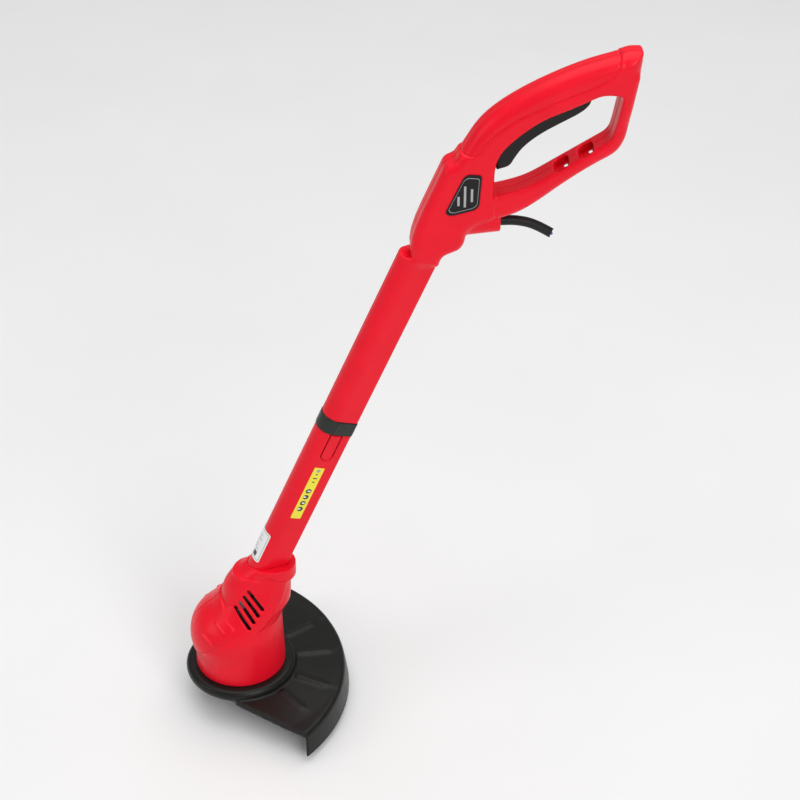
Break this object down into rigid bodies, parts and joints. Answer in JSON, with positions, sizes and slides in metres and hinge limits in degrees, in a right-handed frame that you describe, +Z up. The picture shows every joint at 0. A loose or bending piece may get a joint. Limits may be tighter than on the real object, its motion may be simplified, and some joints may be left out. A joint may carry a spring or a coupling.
{
  "type": "string trimmer",
  "caption": "Light corded string trimmer: red loop handle with lever trigger, leaning tube with a black coupling ring, upright motor head, black fan-shaped guard and bump-feed spool.",
  "frame": {"origin": "centre of the bump knob's flat foot, on the spool's axis", "axes": "+Z up along the spool's axis, +X towards the user, -Y to the user's left"},
  "size_m": [0.4573, 0.2482, 0.782],
  "materials": {
    "red_plastic": "satin moulded",
    "black_plastic": "fine grained",
    "guard_plastic": "smooth satin",
    "white_plastic": "smooth",
    "capacitor_film": "smooth",
    "cord_rubber": "matt",
    "lead_insulation": "smooth",
    "badge": "printed film",
    "yellow_sticker": "printed film",
    "white_sticker": "printed film",
    "steel": "zinc plated",
    "magnet": "ground",
    "copper": "enamelled",
    "nylon_line": "smooth"
  },
  "bodies": {
    "casing": {"handle_shell_left": "red_plastic", "handle_shell_right": "red_plastic", "handle_screws": "steel", "trigger_pin": "steel", "trigger_spring": "steel", "switch_body": "black_plastic", "capacitor": "capacitor_film", "cord_clamp": "black_plastic", "clamp_screws": "steel", "mains_cord": "cord_rubber", "supply_lead": "lead_insulation", "badge_plate": "badge", "coupling_ring": "black_plastic", "lower_tube": "red_plastic", "inner_lead": "cord_rubber", "side_sticker": "yellow_sticker", "front_sticker": "white_sticker", "head_shell_left": "red_plastic", "head_shell_right": "red_plastic", "head_screws": "steel", "motor_can": "steel", "field_magnets": "magnet", "motor_end_cap": "black_plastic", "brushes": "magnet", "lower_bearing": "steel", "upper_bearing": "steel", "guard": "guard_plastic", "guard_screws": "steel", "cutter_blade": "steel", "blade_screw": "steel"},
    "trigger_lever": {"trigger": "black_plastic"},
    "plunger": {"switch_plunger": "white_plastic"},
    "latch": {"latch_tab": "red_plastic"},
    "rotor": {"motor_shaft": "steel", "armature_core": "steel", "armature_windings": "copper", "commutator": "copper", "cooling_fan": "black_plastic", "spool_carrier": "black_plastic", "line_eyelet": "steel", "line_end": "nylon_line", "spool_cap": "black_plastic", "spool_spring": "steel"},
    "knob": {"bump_knob": "black_plastic"},
    "spool": {"line_spool": "black_plastic", "wound_line": "nylon_line"}
  },
  "joints": [
    {"name": "trigger_pull", "type": "hinge", "parent": "casing", "child": "trigger_lever", "pos_m": [0.342, 0, 0.741], "axis": [0, 1, 0], "range_deg": [0, 4.5], "stiffness_Nm_per_rad": 2, "springref_deg": -5.73, "deforming": ["trigger_spring"]},
    {"name": "plunger_press", "type": "slide", "parent": "casing", "child": "plunger", "axis": [-0.6252, 0, 0.7804], "range_m": [0, 0.0042]},
    {"name": "latch_press", "type": "hinge", "parent": "casing", "child": "latch", "pos_m": [0.11021, -0.0112, 0.35892], "axis": [0.9225, 0, -0.3859], "range_deg": [0, 4.5], "stiffness_Nm_per_rad": 1, "springref_deg": -2.86},
    {"name": "rotor_spin", "type": "hinge", "parent": "casing", "child": "rotor", "pos_m": [0, 0, 0.05], "axis": [0, 0, 1], "continuous": true},
    {"name": "bump_press", "type": "slide", "parent": "rotor", "child": "knob", "axis": [0, 0, 1], "range_m": [0, 0.005], "stiffness_N_per_m": 1500, "springref_m": -0.004, "deforming": ["spool_spring"]},
    {"name": "spool_turn", "type": "hinge", "parent": "knob", "child": "spool", "pos_m": [0, 0, 0.025], "axis": [0, 0, 1], "continuous": true}
  ],
  "couplings": [
    {"joint": "plunger_press", "follows": "trigger_pull", "m_per_rad": 0.0512}
  ]
}
